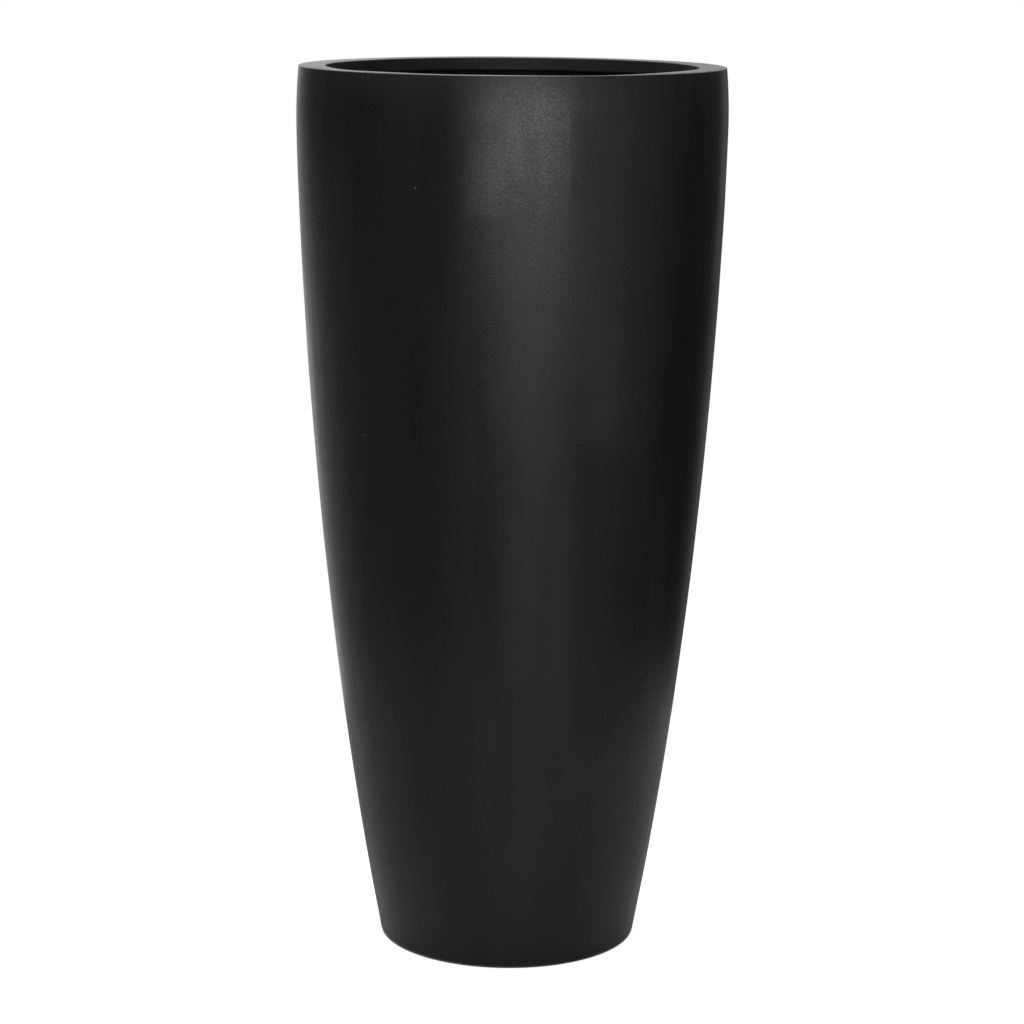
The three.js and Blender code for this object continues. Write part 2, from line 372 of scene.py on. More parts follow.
WAVE_DEPTH, RUB_DEPTH, GRAIN_DEPTH, PROUD = 0.16 * MM, 0.02 * MM, 0.1 * MM, 0.15 * MM
PATCHINESS = 0.02  # how far clouds and blots each move the roughness to either side
SPECKLE = 0.06  # how far the grain moves the roughness and the shine
MIDDLE_SHINE = 0.5
print("marks:", 1 + len(FLECKS), "patches:", ", ".join(RUBBED_PATCHES))


# %% Marks, dots and patches as nodes
def mark(finish, where, place, turn_degrees, lean_degrees, half_sizes):
    """1 in the middle of a small ellipsoid in the planter's space, and 0 outside it."""
    near = finish.add("Mapping", {"vector_type": "TEXTURE"}, Vector=where)
    near.inputs["Location"].default_value = place
    near.inputs["Rotation"].default_value = (math.radians(lean_degrees), 0, math.radians(turn_degrees))
    near.inputs["Scale"].default_value = half_sizes
    away = finish.add("VectorMath", {"operation": "LENGTH"}, Vector=near.outputs[0])
    return finish.ramp(away.outputs["Value"], 0.3, 1.0, 1.0, 0.0, smooth=True)


def sparse_dots(finish, where, spacing, radius):
    """1 on small dots that lie about this far apart in space, and 0 elsewhere."""
    cells = finish.add("TexVoronoi", Vector=where, Scale=1 / spacing).outputs["Distance"]
    return finish.ramp(cells, 0.5 * radius / spacing, radius / spacing, 1.0, 0.0)


def stretched(finish, where, across, up):
    """Coordinates in which noise blobs come out longer across or up."""
    made = finish.add("Mapping", Vector=where)
    made.inputs["Scale"].default_value = (1 / across, 1 / across, 1 / up)
    return made.outputs[0]


def between(finish, value, low, high, soft_low, soft_high):
    """1 between two places in millimetres and 0 outside them, with soft ends."""
    past_low = finish.ramp(value, (low - soft_low / 2) * MM, (low + soft_low / 2) * MM, smooth=True)
    past_high = finish.ramp(value, (high - soft_high / 2) * MM, (high + soft_high / 2) * MM, smooth=True)
    return finish.maths("SUBTRACT", past_low, past_high)


def rubbed_patches(finish, where, blots):
    """How much smoother and how much shinier each place on the front is than the rest."""
    parts = finish.add("SeparateXYZ", Vector=where)
    stray = finish.ramp(blots, 0.3, 0.7, -PATCH_WANDER, PATCH_WANDER)
    across = finish.maths("ADD", parts.outputs["X"], stray)
    up = finish.maths("ADD", parts.outputs["Z"], stray)
    front = finish.maths("LESS_THAN", parts.outputs["Y"], 0.0)
    smoother = shinier = 0.0
    for from_left, from_low, more_smooth, more_shine in RUBBED_PATCHES.values():
        patch = finish.maths("MULTIPLY", between(finish, across, *from_left), front)
        patch = finish.maths("MULTIPLY", patch, between(finish, up, *from_low))
        smoother = finish.maths("MULTIPLY_ADD", patch, more_smooth, smoother)
        shinier = finish.maths("MULTIPLY_ADD", patch, more_shine, shinier)
    return smoother, shinier


spans = [across[1] - across[0] for across, up, smooth, shine in RUBBED_PATCHES.values()]
print("patches are", min(spans), "to", max(spans), "mm wide")

# %% Black gel coat
def black_gel_coat(name, middle_roughness, black):
    """Clouds, blots and patches move the sheen, and grain, rubbing marks and dust the surface."""
    finish = Finish(name)
    where = finish.add("TexCoord").outputs["Object"]
    tall = stretched(finish, where, 1.0, UPRIGHT)
    clouds = finish.noise(tall, CLOUD, detail=3.0)
    blots = finish.noise(tall, BLOT, detail=4.0)
    waves = finish.noise(tall, WAVE, detail=2.0)
    rubbing = finish.noise(stretched(finish, where, 12.0, 1.0), RUB_MARK, detail=2.0)
    grain = finish.noise(where, GRAIN, detail=1.5, roughness=0.6)
    pinholes = sparse_dots(finish, where, 40 * MM, 0.7 * MM)
    dust = sparse_dots(finish, where, 90 * MM, 1.1 * MM)
    for place in FLECKS:
        dust = finish.maths("MAXIMUM", dust, mark(finish, where, *place))
    tone = finish.mix(finish.ramp(clouds, 0.35, 0.65), grey(black * 0.8, -0.02), grey(black * 1.2, -0.01))
    tone = finish.mix(dust, tone, grey(0.14, 0.02))
    patches = finish.ramp(blots, 0.46, 0.54, smooth=True)
    rough = finish.ramp(clouds, 0.3, 0.7, middle_roughness - PATCHINESS, middle_roughness + PATCHINESS)
    rough = finish.maths("ADD", rough, finish.ramp(patches, 0.0, 1.0, -PATCHINESS, PATCHINESS))
    smoother, shinier = rubbed_patches(finish, where, blots)
    speckle = finish.ramp(grain, 0.3, 0.7, -SPECKLE, SPECKLE)
    rough = finish.maths("ADD", finish.maths("SUBTRACT", rough, smoother), speckle)
    shine = finish.maths("ADD", finish.maths("SUBTRACT", shinier, speckle), MIDDLE_SHINE)
    normal = finish.bump(waves, WAVE_DEPTH)
    normal = finish.bump(rubbing, RUB_DEPTH, normal)
    normal = finish.bump(grain, GRAIN_DEPTH, normal)
    proud = finish.maths("ADD", mark(finish, where, *CREASE), dust)
    normal = finish.bump(finish.maths("SUBTRACT", proud, pinholes), PROUD, normal)
    finish.set(Base_Color=tone, Roughness=rough, Normal=normal, IOR=1.5, Specular_IOR_Level=shine)
    return finish.material


gel_coat = black_gel_coat("black_gel_coat", SHEEN_ROUGHNESS, BLACK)
# inside the mouth nobody rubs the drop so carefully, so it is duller; its black is also painted a little
# lighter, painted light that lifts the shade on the drop inside the mouth
DROP_ROUGHNESS, DROP_BLACK_PAINTED_LIGHTER = 0.5, 0.013
drop_coat_painted_lighter = black_gel_coat("dull_gel_coat_painted_lighter", DROP_ROUGHNESS, DROP_BLACK_PAINTED_LIGHTER)
print("made", gel_coat.name, "and", drop_coat_painted_lighter.name)

# %% [markdown]
# ## The raw laminate
#
# Inside, nobody rubs the surface down. Strands of glass, each a few centimetres long and
# dropped in every direction, lie in dark resin, and stand up where the resin ran thin.
# The strands could be thousands of small meshes, but a texture does it: the surface is
# split into cells, each cell turns the coordinates by its own angle, and a noise that is
# stretched along one axis draws the strands of that cell. Three layers cross each other.

# %% Raw glass mat in dark resin
STRANDS_ALONG, STRANDS_ACROSS = 28, 620  # noise cells to the metre, so strands come out long
MAT_DARK, MAT_LIGHT = 0.03, 0.13  # linear tones of flooded resin and of dry strands


def strand_layer(finish, where, shift, cell):
    """Strands that lie in one direction in each cell, and in another in the next."""
    moved = finish.add("Mapping", Vector=where)
    moved.inputs["Location"].default_value = (shift, shift * 0.7, 0)
    flat = {"voronoi_dimensions": "2D"}
    cells = finish.add("TexVoronoi", flat, Vector=moved.outputs[0], Scale=1 / cell)
    turn = finish.add("SeparateColor", Color=cells.outputs["Color"]).outputs[0]
    turn = finish.maths("MULTIPLY", turn, 2 * math.pi)
    spun = finish.add("VectorRotate", {"rotation_type": "Z_AXIS"}, Vector=moved.outputs[0], Angle=turn)
    drawn = finish.add("Mapping", Vector=spun.outputs[0])
    drawn.inputs["Scale"].default_value = (STRANDS_ALONG, STRANDS_ACROSS, 1)
    flat = {"noise_dimensions": "2D"}
    lines = finish.add("TexNoise", flat, Vector=drawn.outputs[0], Scale=1.0, Detail=2.0)
    return finish.ramp(lines.outputs["Fac"], 0.48, 0.66, smooth=True)


def raw_glass_mat(name, dark, light):
    """Three crossed layers of strands that stand up where the resin ran thin."""
    finish = Finish(name)
    where = finish.add("UVMap").outputs[0]
    solid = finish.add("TexCoord").outputs["Object"]
    layers = [strand_layer(finish, where, 0.37 * k, (22 + 6 * k) * MM) for k in range(3)]
    strands = finish.maths("MAXIMUM", finish.maths("MAXIMUM", layers[0], layers[1]), layers[2])
    pools = finish.noise(solid, 35 * MM, detail=3.0)
    grit = finish.noise(solid, 1.2 * MM, detail=3.0)
    dry = finish.maths("MULTIPLY", strands, finish.ramp(pools, 0.42, 0.62))
    tone = finish.mix(finish.maths("MULTIPLY", dry, 0.8), grey(dark, 0.02), grey(light, 0.05))
    rough = finish.ramp(pools, 0.35, 0.65, 0.34, 0.62)
    normal = finish.bump(pools, 1.2 * MM)
    normal = finish.bump(strands, 0.45 * MM, normal)
    normal = finish.bump(grit, 0.08 * MM, normal)
    finish.set(Base_Color=tone, Roughness=rough, Normal=normal, IOR=1.5)
    return finish.material


glass_mat = raw_glass_mat("raw_glass_mat", MAT_DARK, MAT_LIGHT)
print("made", glass_mat.name)

# %% [markdown]
# ## The glass tape
#
# The joints inside are covered with woven glass tape, wetted out with the same resin. Its
# flat bundles pass over and under each other every few millimetres. A plain weave is two
# sets of round ridges, and a checkerboard that says which set lies on top, so it is
# worked out with sines from the texture coordinates, which are in metres.

# %% Woven tape in resin
BUNDLE = 3.2 * MM  # width of one flat bundle of glass


def woven_tape():
    """Bundles over and under each other, half drowned where the resin pooled."""
    finish = Finish("woven_tape")
    where = finish.add("UVMap").outputs[0]
    solid = finish.add("TexCoord").outputs["Object"]
    parts = finish.add("SeparateXYZ", Vector=where)
    waves = []
    for axis in (0, 1):
        turn = finish.maths("MULTIPLY", parts.outputs[axis], math.pi / BUNDLE)
        waves.append(finish.maths("SINE", turn))
    ridges = [finish.maths("ABSOLUTE", wave) for wave in waves]
    over = finish.ramp(finish.maths("MULTIPLY", waves[0], waves[1]), -0.2, 0.2)
    weave = finish.add("Mix", {"data_type": "FLOAT"})
    for number, value in ((0, over), (2, ridges[0]), (3, ridges[1])):
        finish.put(weave, str(number), value)
    weave = weave.outputs[0]
    flooded = finish.ramp(finish.noise(solid, 12 * MM, detail=2.0), 0.4, 0.62)
    weave = finish.maths("MULTIPLY", weave, finish.ramp(flooded, 0.0, 1.0, 1.0, 0.35))
    grit = finish.noise(solid, 1.0 * MM, detail=2.0)
    tone = finish.mix(finish.ramp(weave, 0.3, 1.0), grey(0.014, 0.02), grey(0.04, 0.05))
    rough = finish.ramp(flooded, 0.0, 1.0, 0.58, 0.36)
    normal = finish.bump(weave, 0.5 * MM)
    normal = finish.bump(grit, 0.06 * MM, normal)
    finish.set(Base_Color=tone, Roughness=rough, Normal=normal, IOR=1.5)
    return finish.material


tape_finish = woven_tape()
print("made", tape_finish.name)

# %% [markdown]
# ## The rubber
#
# The plug and the pads are moulded black rubber: nearly as dark as the gel coat, but dull,
# with a faint grey bloom that settles in patches and a fine grain from the mould.

# %% Moulded rubber
def moulded_rubber():
    """Dull black with a patchy grey bloom."""
    finish = Finish("moulded_rubber")
    where = finish.add("TexCoord").outputs["Object"]
    bloom = finish.noise(where, 5 * MM, detail=4.0, roughness=0.6)
    grain = finish.noise(where, 0.35 * MM, detail=2.0)
    tone = finish.mix(finish.ramp(bloom, 0.4, 0.7), grey(0.011), grey(0.024, 0.03))
    rough = finish.ramp(bloom, 0.35, 0.7, 0.62, 0.8)
    normal = finish.bump(grain, 0.03 * MM)
    finish.set(Base_Color=tone, Roughness=rough, Normal=normal, IOR=1.5)
    return finish.material


rubber = moulded_rubber()
print("made", rubber.name)

# %% [markdown]
# ## The ripple in the wall
#
# A hand-laid shell is never quite the shape of its mould. It pulls in a few tenths of a
# millimetre here and there as the resin cures, and the bright streaks at its sides wander
# because of it. That is a real shape, so it goes into the mesh: a few long waves, whole
# numbers of them round the wall so that they meet again, always pulling inwards so that
# the wall stays inside its true size.

# %% Ripple waves
RIPPLE_SEED = 7
RIPPLE_DEPTH = 0.32 * MM
CALM_AT_RIM, CALM_AT_FOOT = 30 * MM, 20 * MM  # the ripple dies away over these heights


def ripple_waves(count=14):
    """Waves of the ripple as (turns round the wall, waves up it, phase, strength)."""
    draw = random.Random(RIPPLE_SEED)
    waves = []
    for _ in range(count):
        turns, up = draw.randint(2, 12), draw.uniform(2, 11)
        waves.append((turns, up * draw.choice((-1, 1)), draw.uniform(0, 2 * math.pi), 1 / (turns + up)))
    total = sum(wave[3] for wave in waves)
    return [(*wave[:3], wave[3] / total) for wave in waves]


RIPPLES = ripple_waves()


def ripple(angles, height):
    """How far the wall is pulled in, from 0 to RIPPLE_DEPTH, at a height."""
    pull = np.zeros_like(angles)
    for turns, up, phase, strength in RIPPLES:
        pull += strength * np.cos(turns * angles + 2 * math.pi * up * height / RIM + phase)
    calm = min(1.0, (RIM - height) / CALM_AT_RIM, (height - FOOT) / CALM_AT_FOOT)
    return RIPPLE_DEPTH * max(calm, 0.0) * (0.5 + 0.5 * np.clip(pull * 2.2, -1, 1))


trial = ripple(np.linspace(0, 2 * math.pi, 200), 0.5)
print("ripple at half height, mm:", round(trial.min() / MM, 3), "to", round(trial.max() / MM, 3))

# %% [markdown]
# ## The wall
#
# The wall is one laminate five millimetres thick: gel coat on the outside, round the foot
# and on the flat of the top edge, and raw glass mat on the inside. A Solidify modifier
# could thicken a single sheet, but then both faces would carry the same ripple. Turning
# both faces in one outline lets the outside ripple softly while the inside is lumpy.

# %% Lumps of the raw inside
WALL_LUMP, WALL_LUMP_DEPTH = 16 * MM, 0.25 * MM


def lumps(angles, height, size, depth):
    """Soft lumps on a raw face, of a size and depth in metres, the same on every run."""
    radius = float(radius_at(height)) / size
    return depth * np.array([
        noise.noise(Vector((radius * math.cos(a), radius * math.sin(a), height / size))) for a in angles
    ])


trial = lumps(np.linspace(0, 2 * math.pi, 200), 0.5, WALL_LUMP, WALL_LUMP_DEPTH)
print("lumps at half height, mm:", round(trial.min() / MM, 3), "to", round(trial.max() / MM, 3))

# %% Turn the wall
EDGE = 0.8 * MM
WALL_AROUND = 360
JOINT_RADIUS = float(radius_at(RIM, WALL)) - GAP / 2  # where the wall's flat meets the rim's


def wall_relief(angles, point):
    """The ripple on the outside, and lumps that only sink on the inside."""
    radius, height = point
    if radius > radius_at(height, WALL / 2):
        return -ripple(angles, height)
    return lumps(angles, height, WALL_LUMP, WALL_LUMP_DEPTH) - WALL_LUMP_DEPTH


wall_outline = [
    (corner((FOOT_RADIUS - EDGE, FOOT + EDGE), EDGE, 270, 349), 0),
    (up_face(0, FOOT + 1.9 * EDGE, RIM - EDGE, 4.5 * MM), 0),
    (corner((RIM_RADIUS - EDGE, RIM - EDGE), EDGE, 0, 90), 0),
    (straight((RIM_RADIUS - EDGE - PAST_EDGE, RIM), (JOINT_RADIUS, RIM), 1 * MM), 0),
    (up_face(WALL, RIM - 0.5 * MM, FOOT + 0.5 * MM, 6 * MM), 1),
    (straight((float(radius_at(FOOT, WALL)), FOOT), (FOOT_RADIUS - EDGE - PAST_EDGE, FOOT), 1 * MM), 0),
]
wall = turned("wall_skin", wall_outline, WALL_AROUND, wall_relief)
dress(wall, "planter", ["wall_shell"], "black_finish", gel_coat, glass_mat)

# %% [markdown]
# ## The rim
#
# The rim is flat, about thirty millimetres wide, and turns down sixteen millimetres into
# the mouth, with soft edges that hands pass over. Behind the drop is an open channel,
# and a flange that is bonded to the wall. On the real planter the joint between wall and
# rim is filled and rubbed flush under the gel coat, so the two flats meet here with no
# gap, each on its own piece. The outline starts on the outer face of the flange, runs over
# the flat and round the drop, and comes back through the channel. A bevelled torus would
# be quicker, but it would have neither the channel nor the flange.

# %% Turn the rim
LIP = 5 * MM
LIP_DROP = 16 * MM
LIP_EDGE = 1.2 * MM
LIP_FILLET = 3 * MM
FLANGE = 4 * MM
FLANGE_FOOT = RIM - 40 * MM
RIM_AROUND = 288
RIM_LUMP, RIM_LUMP_DEPTH = 14 * MM, 0.15 * MM
SKIM = 0.02 * MM  # a smooth face lies this much inside the true size
NEARLY = 0.2 * MM
bond = WALL + GAP  # depth of the faces that are bonded to the inside of the wall


def rim_relief(angles, point):
    """The flat and the drop stay true, and the faces that nobody sees are lumpy."""
    radius, height = point
    if height > RIM - NEARLY or radius < MOUTH_RADIUS + NEARLY:
        return np.full_like(angles, -SKIM)
    return lumps(angles, height, RIM_LUMP, RIM_LUMP_DEPTH) - RIM_LUMP_DEPTH


under = RIM - LIP
drop_head = RIM - LIP_EDGE - PAST_EDGE
drop_foot = RIM - LIP_DROP
toe = LIP / 2
flange_inner = float(radius_at(under, bond + FLANGE))
rim_outline = [
    (up_face(bond, FLANGE_FOOT, RIM - 1 * MM, 5 * MM), 1),
    (straight((JOINT_RADIUS, RIM), (MOUTH_RADIUS + LIP_EDGE + PAST_EDGE, RIM), 2 * MM), 0),
    (corner((MOUTH_RADIUS + LIP_EDGE, RIM - LIP_EDGE), LIP_EDGE, 90, 180, 8), 0),
    (straight((MOUTH_RADIUS, drop_head), (MOUTH_RADIUS, drop_foot + toe + PAST_EDGE), 1 * MM), 2),
    (corner((MOUTH_RADIUS + toe, drop_foot + toe), toe, 180, 360, 12), 2),
    (straight((MOUTH_RADIUS + LIP, drop_foot + toe), (MOUTH_RADIUS + LIP, under - LIP_FILLET), 2 * MM), 1),
    (corner((MOUTH_RADIUS + LIP + LIP_FILLET, under - LIP_FILLET), LIP_FILLET, 180, 90, 5), 1),
    (corner((flange_inner - LIP_FILLET, under - LIP_FILLET), LIP_FILLET, 90, 0, 5), 1),
    (up_face(bond + FLANGE, under - 2 * LIP_FILLET, FLANGE_FOOT + FLANGE, 4 * MM), 1),
]
rim = turned("rim_skin", rim_outline, RIM_AROUND, rim_relief)
dress(rim, "planter", ["rim_lip"], "black_finish", gel_coat, glass_mat, drop_coat_painted_lighter)

# %% [markdown]
# ## The sag of the flat
#
# A flat that is laid up this thin sinks a little towards the mouth between the places
# that held it while it cured. It shows in the photograph as a bright line along the front
# that grows thin and wide by turns. A lattice could bend it, but a few soft dips, each at
# its own compass angle, say the same in numbers that can be read and changed.

# %% Let the flat of the rim sag
RIM_SAGS = (  # compass angle from the front in degrees, half width, and depth at the mouth
    (24, 26, 1.25 * MM),
    (-20, 26, 0.7 * MM),
    (-60, 20, 0.9 * MM),
    (-125, 25, 0.3 * MM),
)


def sag(angles):
    """How far the flat has sunk at the mouth, at angles from +X."""
    sunk = np.zeros_like(angles)
    for centre, half_width, depth in RIM_SAGS:
        away = np.degrees(angles) + 90 - centre
        away = np.abs((away + 180) % 360 - 180)
        sunk += depth * (0.5 + 0.5 * np.cos(math.pi * np.clip(away / half_width / 1.4, 0, 1)))
    return sunk


def settle(piece):
    """Sinks the flat towards the mouth, and leaves its outer edge and all below as they are."""
    places = points_of(piece)
    radii = np.hypot(places[:, 0], places[:, 1])
    inward = np.clip((RIM_RADIUS - radii) / (RIM_RADIUS - MOUTH_RADIUS), 0, 1)
    high = np.clip((places[:, 2] - (RIM - LIP_DROP)) / LIP_DROP, 0, 1)
    places[:, 2] -= sag(np.arctan2(places[:, 1], places[:, 0])) * inward * high
    put_points(piece, places)


for piece in (wall, rim):
    settle(piece)
print("the flat sags at most, mm:", round(float(sag(np.linspace(0, 2 * math.pi, 361)).max()) / MM, 2))

# %% [markdown]
# ## The taped joints
#
# Two bands of woven tape hold the planter together: one laps from the rim's flange onto
# the wall, and one runs over a resin cove from the wall onto the floor. Cut by hand, their
# edges wander a little. A boolean cut could do that, but it is enough to move the last
# rings of points back over the tape by a slow wave, along the face that the tape lies on.

# %% Turn the two tapes
TAPE = 1.5 * MM
TAPE_AROUND = 288
TAPE_WANDER = 2.5 * MM  # how far the edge of a tape comes and goes
TAPE_LUMP, TAPE_LUMP_DEPTH = 7 * MM, 0.12 * MM


def wander(angles, seed):
    """A slow wave round the planter, from 0 to 1."""
    draw = random.Random(seed)
    waves = [(draw.randint(3, 23), draw.uniform(0, 2 * math.pi)) for _ in range(6)]
    wave = sum(np.cos(n * angles + phase) for n, phase in waves) / len(waves)
    return 0.5 + 0.5 * np.clip(1.6 * wave, -1, 1)


def cut_by_hand(piece, edge, way, seed):
    """Moves the edge of a tape on the wall up (way 1) or down (way -1), less further away."""
    places = points_of(piece)
    near = np.clip(1 - np.abs(places[:, 2] - edge) / (4 * TAPE_WANDER), 0, 1)
    moved = way * near * TAPE_WANDER * wander(np.arctan2(places[:, 1], places[:, 0]), seed)
    slopes = np.interp(places[:, 2], SWEEP_HEIGHTS, SWEEP_SLOPES)
    places[:, :2] *= (1 + slopes * moved / np.hypot(places[:, 0], places[:, 1]))[:, None]
    places[:, 2] += moved
    put_points(piece, places)


def tape_relief(angles, point):
    """Small lumps where the bundles were pressed into the resin."""
    return lumps(angles, point[1] + point[0], TAPE_LUMP, TAPE_LUMP_DEPTH) - TAPE_LUMP_DEPTH


knee_low, knee_high = FLANGE_FOOT - FLANGE, FLANGE_FOOT + FLANGE
tape_low, tape_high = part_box("rim_joint_tape")[0].z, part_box("rim_joint_tape")[1].z
on_wall, on_flange = bond, bond + FLANGE + GAP
rim_tape_outline = [
    (up_face(on_wall, tape_low, knee_low, 3 * MM), 0),
    (up_face(on_flange, knee_high, tape_high, 3 * MM), 0),
    (up_face(on_flange + TAPE, tape_high - TAPE, knee_high, 3 * MM), 0),
    (up_face(on_wall + TAPE, knee_low - TAPE, tape_low + TAPE, 3 * MM), 0),
]
rim_tape = turned("rim_tape_skin", rim_tape_outline, TAPE_AROUND, tape_relief)
cut_by_hand(rim_tape, tape_low, 1, seed=3)
cut_by_hand(rim_tape, tape_high, -1, seed=4)
dress(rim_tape, "planter", ["rim_joint_tape"], "glass_tape", tape_finish)

floor_low, floor_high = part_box("floor_panel")
FLOOR_TOP = floor_high.z
COVE = 9 * MM
band_low, band_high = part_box("floor_joint_tape")
band_inner = float(radius_at(FLOOR_TOP, bond)) - 42 * MM
cove_height = band_low.z + TAPE + COVE
cove_radius = float(radius_at(cove_height, bond + TAPE)) - COVE
floor_tape_outline = [
    (straight((band_inner, band_low.z), (float(radius_at(band_low.z, bond)), band_low.z), 3 * MM), 0),
    (up_face(bond, band_low.z, band_high.z, 3 * MM), 0),
    (up_face(bond + TAPE, band_high.z - TAPE, cove_height + 0.4 * COVE, 3 * MM), 0),
    (corner((cove_radius, cove_height), COVE, 0, -90, 10), 0),
    (straight((cove_radius, cove_height - COVE), (band_inner + TAPE, cove_height - COVE), 3 * MM), 0),
]
floor_tape = turned("floor_tape_skin", floor_tape_outline, TAPE_AROUND, tape_relief)
cut_by_hand(floor_tape, band_high.z, -1, seed=5)
dress(floor_tape, "planter", ["floor_joint_tape"], "glass_tape", tape_finish)

# %% [markdown]
# ## The floor and the foot ring
#
# The floor is a flat panel of the same raw laminate, thicker round the drain hole, with a
# shallow seat for the head of the plug. It lies on a ring at the bottom edge of the wall.
# Both are only seen from above or below, but they are finished as the inside is.

# %% Turn the floor and the foot ring
SEAT_RADIUS, SEAT_DEPTH = 18.2 * MM, 1.5 * MM
HOLE_RADIUS, HOLE_TAPER = 11 * MM, 1.2 * MM
BOSS_RADIUS = 25 * MM
FLOOR_BOTTOM = FLOOR_TOP - 5 * MM
BOSS_BOTTOM = floor_low.z
SEAT = FLOOR_TOP - SEAT_DEPTH
LARGE_AROUND = 240
FLOOR_LUMP, FLOOR_LUMP_DEPTH = 15 * MM, 0.2 * MM


def floor_relief(angles, point):
    """Lumps over the panel, with the seat of the plug left true."""
    radius, height = point
    if radius < SEAT_RADIUS + 3 * MM:
        return np.full_like(angles, -SKIM)
    ring = [Vector((radius * math.cos(a), radius * math.sin(a), height)) for a in angles]
    return FLOOR_LUMP_DEPTH * (np.array([noise.noise(place / FLOOR_LUMP) for place in ring]) - 1)


boss_side = BOSS_RADIUS + FLOOR_BOTTOM - BOSS_BOTTOM
edge_low = (float(radius_at(FLOOR_BOTTOM, bond)), FLOOR_BOTTOM)
edge_high = (float(radius_at(FLOOR_TOP, bond)), FLOOR_TOP)
floor_outline = [
    (straight((HOLE_RADIUS - HOLE_TAPER, BOSS_BOTTOM), (BOSS_RADIUS, BOSS_BOTTOM), 3 * MM), 0),
    (straight((BOSS_RADIUS, BOSS_BOTTOM), (boss_side, FLOOR_BOTTOM), 1 * MM), 0),
    (straight((boss_side + 1 * MM, FLOOR_BOTTOM), edge_low, 4 * MM), 0),
    (straight(edge_high, (SEAT_RADIUS + SEAT_DEPTH + 1 * MM, FLOOR_TOP), 4 * MM), 0),
    (straight((SEAT_RADIUS + SEAT_DEPTH, FLOOR_TOP), (SEAT_RADIUS, SEAT), 0.5 * MM), 0),
    (straight((SEAT_RADIUS - 0.5 * MM, SEAT), (HOLE_RADIUS, SEAT), 1 * MM), 0),
]
floor_skin = turned("floor_skin", floor_outline, LARGE_AROUND, floor_relief, sharp=30)
dress(floor_skin, "planter", ["floor_panel"], "raw_laminate", glass_mat)

foot_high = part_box("foot_ring")[1]
ring_inner = float(radius_at(FOOT, bond)) - 27 * MM
ring_low = (float(radius_at(FOOT, bond)), FOOT)
ring_high = (float(radius_at(foot_high.z, bond)), foot_high.z)
foot_outline = [
    (straight(ring_low, ring_high, 2 * MM), 0),
    (straight(ring_high, (ring_inner, foot_high.z), 3 * MM), 0),
    (straight((ring_inner, foot_high.z), (ring_inner, FOOT + EDGE), 2 * MM), 0),
    (corner((ring_inner + EDGE, FOOT + EDGE), EDGE, 180, 270), 0),
    (straight((ring_inner + EDGE + 0.4 * MM, FOOT), ring_low, 3 * MM), 0),
]
foot_skin = turned("foot_ring_skin", foot_outline, LARGE_AROUND, floor_relief, sharp=30)
dress(foot_skin, "planter", ["foot_ring"], "raw_laminate", glass_mat)

# %% [markdown]
# ## The plug and the pads
#
# The plug has a crowned head that a nail can get under, a tapered stem with two sealing
# ribs, and a hollow core. The pads are thin moulded discs with a soft lower edge. They are
# small enough to turn at full detail, with the fine ring that a mould leaves on each.

# %% Turn the plug
plug_low, plug_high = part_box("drain_plug")
HEAD_RADIUS = plug_high.x
HEAD_FLAT = SEAT + GAP
HEAD_EDGE = HEAD_FLAT + 3.2 * MM
CORE_RADIUS, CORE_TOP, CORE_ROUNDING = 5.5 * MM, plug_low.z + 6 * MM, 0.6 * MM
GROOVES = (7.8 * MM, 10 * MM)  # heights of the two grooves
GROOVE_DEPTH, GROOVE_HALF_WIDTH = 0.7 * MM, 0.5 * MM


def stem_radius(height):
    """Radius of the tapered stem, a running gap inside the hole."""
    depth = (SEAT - height) / (SEAT - BOSS_BOTTOM)
    return HOLE_RADIUS - GAP - HOLE_TAPER * depth


def stem_points():
    """The stem from its toe up to the head, with two grooves that leave two ribs."""
    points = []
    for height in np.arange(plug_low.z + 1 * MM, HEAD_FLAT, 0.2 * MM):
        groove = max(math.exp(-(((height - middle) / GROOVE_HALF_WIDTH) ** 4)) for middle in GROOVES)
        points.append((stem_radius(height) - GROOVE_DEPTH * groove, float(height)))
    return points


rounding = 1.6 * MM
crown = plug_high.z - HEAD_EDGE
head_reach = HEAD_RADIUS - 0.9 * rounding
head_top = [
    (head_reach * (1 - s), HEAD_EDGE - 0.02 * MM + crown * math.sin(math.pi / 2 * s) ** 0.8)
    for s in np.linspace(0.03, 1, 16)
]
head_top[-1] = (0.0, plug_high.z)
plug_outline = [
    ([(0.0, CORE_TOP), (CORE_RADIUS - CORE_ROUNDING, CORE_TOP)], 0),
    (corner((CORE_RADIUS - CORE_ROUNDING, CORE_TOP - CORE_ROUNDING), CORE_ROUNDING, 90, 0, 4), 0),
    (straight((CORE_RADIUS, CORE_TOP - 0.8 * MM), (CORE_RADIUS, plug_low.z + 0.2 * MM), 1 * MM), 0),
    ([(CORE_RADIUS + 0.2 * MM, plug_low.z), (stem_radius(plug_low.z) - 1 * MM, plug_low.z)], 0),
    (stem_points(), 0),
    ([(stem_radius(HEAD_FLAT), HEAD_FLAT), (HEAD_RADIUS - rounding - PAST_EDGE, HEAD_FLAT)], 0),
    (corner((HEAD_RADIUS - rounding, HEAD_EDGE - rounding), rounding, -90, 80, 12), 0),
    (head_top, 0),
]
plug = turned("plug_skin", plug_outline, 96, sharp=40)
dress(plug, "plug", ["drain_plug"], "rubber", rubber)

# %% Turn the pads
MOULD_RING_INSET, MOULD_RING = 2.7 * MM, 0.4 * MM  # from the pad's edge, and its radius

